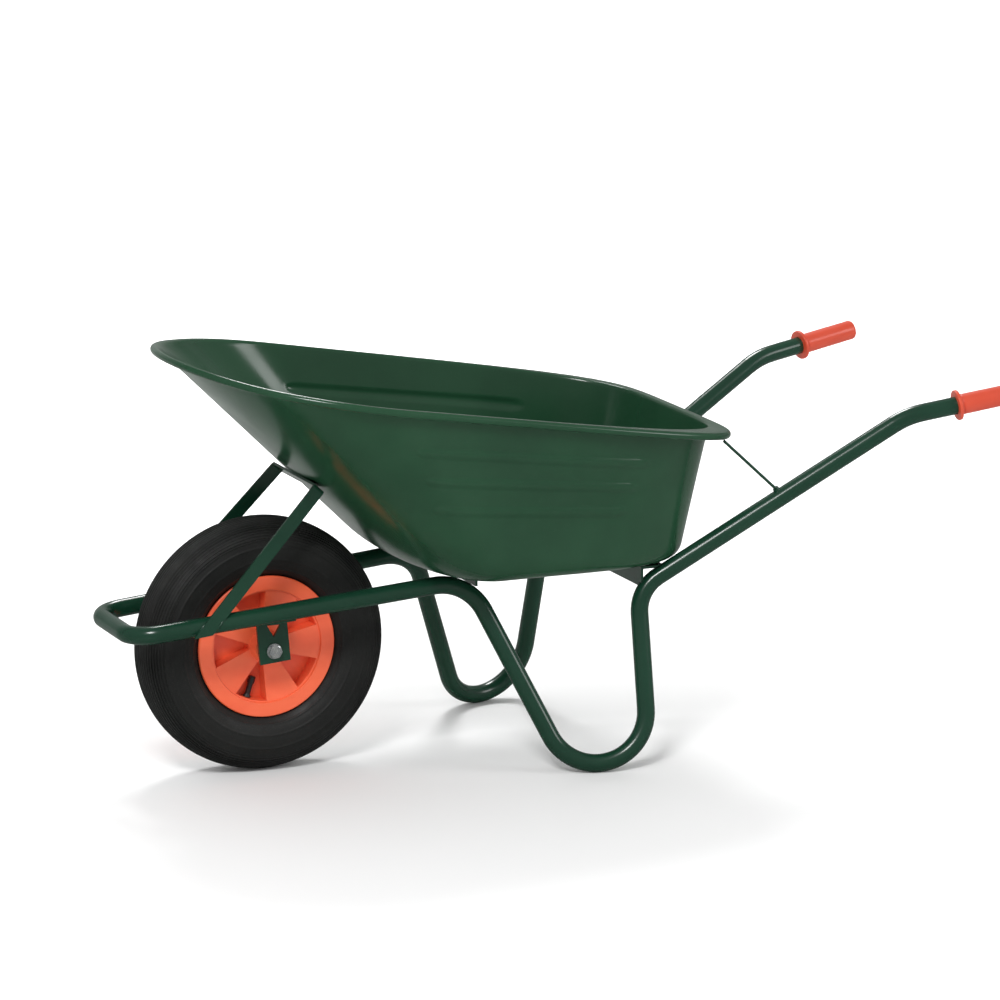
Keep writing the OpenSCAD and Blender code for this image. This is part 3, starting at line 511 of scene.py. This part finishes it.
# ---------- welds ----------
# The straight front part of the right rail, from which both sides' welds are laid out
NOSE_CORNER = Vector((-236, 93, 247))
KNEE = Vector((305, 114, 295))
BRACKET_BEAD_R, BRACKET_BEAD_HALF, BEAD_SINK = 2.0, 22, 0.7
BRACE_BEAD_R, BRACE_BEAD_TURN, BEAD_STAND = 1.7, 34, 0.3
BRACE_X, BRACE_LEAN, BRACE_HALF = -119, math.radians(43.4), 10.5


def rail_at(x):
    """The middle of the right rail at a distance behind the axle"""
    return NOSE_CORNER.lerp(KNEE, (x - NOSE_CORNER.x) / (KNEE.x - NOSE_CORNER.x))


def mirrored(points, side):
    """Points of the right side, heights above the ground, laid about the axle on either side"""
    return [Vector((p.x, side * p.y, p.z - AXLE_Z)) for p in points]


def bracket_welds(side, tag):
    """Two seams along the rail's underside over an axle bracket. The inner one lies on the
    bracket's fold; the outer one is on the bare rail, since the fold ends inside it."""
    for name, across in (("inner", -5.5), ("outer", 5.0)):
        path = [rail_at(x) + Vector((0, across, -TUBE_R + BEAD_SINK))
                for x in range(-BRACKET_BEAD_HALF, BRACKET_BEAD_HALF + 1)]
        bead("bracket_weld_%s_%s" % (name, tag), mirrored(path, side), BRACKET_BEAD_R,
             FRAME_PAINT, "frame", "frame_paint")


def brace_welds(side, tag):
    """Seams along both edges of a brace foot, round the rail's outer side"""
    for name, across in (("front", -BRACE_HALF), ("rear", BRACE_HALF)):
        path = []
        for a in range(-BRACE_BEAD_TURN, BRACE_BEAD_TURN + 1, 4):
            turn = math.radians(a)
            up = math.sin(turn) * TUBE_R
            x = BRACE_X + across / math.cos(BRACE_LEAN) + up * math.tan(BRACE_LEAN)
            path.append(rail_at(x) + Vector((0, math.cos(turn) * TUBE_R + BEAD_STAND, up)))
        bead("brace_weld_%s_%s" % (name, tag), mirrored(path, side), BRACE_BEAD_R,
             FRAME_PAINT, "frame", "frame_paint")


# ---------- studio ----------
WORLD_LIGHT, WORLD_REFLECTED = 0.62, 0.30
# Name, place, what it points at, width in metres and power in watts
LAMPS = (
    ("key", (-2.6, -3.2, 4.2), (0, 0, 0.3), 1.4, 150),
    ("fill", (3.4, -2.8, 2.2), (0, 0, 0.4), 1.8, 40),
    ("back", (0.6, 2.6, 3.6), (0, 0, 0.4), 1.2, 80),
    ("wall", (0.0, 3.0, 5.0), (0, 9.5, 1.0), 4.0, 560),
)


def studio():
    """A white floor that curves up into a white wall behind, dimmer in reflections than it
    looks, and large soft lamps"""
    half, front, back, bend, top = 16, -14, 7, 3, 14
    path = [(front, 0), (back, 0)] + arc(back, bend, bend, -90, 0, 16) + [(back + bend, top)]
    verts = [(x, y, z) for y, z in path for x in (-half, half)]
    faces = [(2 * i, 2 * i + 1, 2 * i + 3, 2 * i + 2) for i in range(len(path) - 1)]
    mesh = bpy.data.meshes.new("backdrop")
    mesh.from_pydata(verts, [], faces)
    mesh.polygons.foreach_set("use_smooth", [True] * len(faces))
    backdrop = bpy.data.objects.new("backdrop", mesh)
    s = Shader("white_backdrop")
    white = s.blend(s.noise(3.0, 3.0), (0.93, 0.93, 0.93, 1), (0.95, 0.95, 0.95, 1))
    reflected = s.nodes.new("ShaderNodeLightPath").outputs["Is Glossy Ray"]
    s.set(Base_Color=s.blend(reflected, white, (0.22, 0.23, 0.22, 1)), Roughness=0.7)
    mesh.materials.append(s.mat)
    bpy.context.scene.collection.objects.link(backdrop)
    bpy.context.scene.world = surround(WORLD_LIGHT, WORLD_REFLECTED)
    for values in LAMPS:
        lamp(*values)
    bpy.context.scene.view_settings.view_transform = "Standard"


def surround(light, reflected):
    """An even white world that gives more light than what it shows in glossy surfaces"""
    world = bpy.data.worlds.new("surround")
    world.use_nodes = True
    nodes, links = world.node_tree.nodes, world.node_tree.links
    strength = nodes.new("ShaderNodeMapRange")
    strength.inputs["To Min"].default_value = light
    strength.inputs["To Max"].default_value = reflected
    path = nodes.new("ShaderNodeLightPath")
    links.new(path.outputs["Is Glossy Ray"], strength.inputs["Value"])
    links.new(strength.outputs["Result"], nodes["Background"].inputs["Strength"])
    nodes["Background"].inputs["Color"].default_value = (1, 1, 1, 1)
    return world


def lamp(name, place, target, size, power):
    """A round soft lamp that points at a target"""
    data = bpy.data.lights.new(name, "AREA")
    data.shape = "DISK"
    data.size = size
    data.energy = power
    obj = bpy.data.objects.new(name, data)
    obj.location = place
    toward = Vector(target) - Vector(place)
    obj.rotation_euler = toward.to_track_quat("-Z", "Y").to_euler()
    bpy.context.scene.collection.objects.link(obj)


tray()
tyre()
for side, tag in ((-1, "left"), (1, "right")):
    grip(side, "grip_" + tag)
    bracket_welds(side, tag)
    brace_welds(side, tag)
studio()
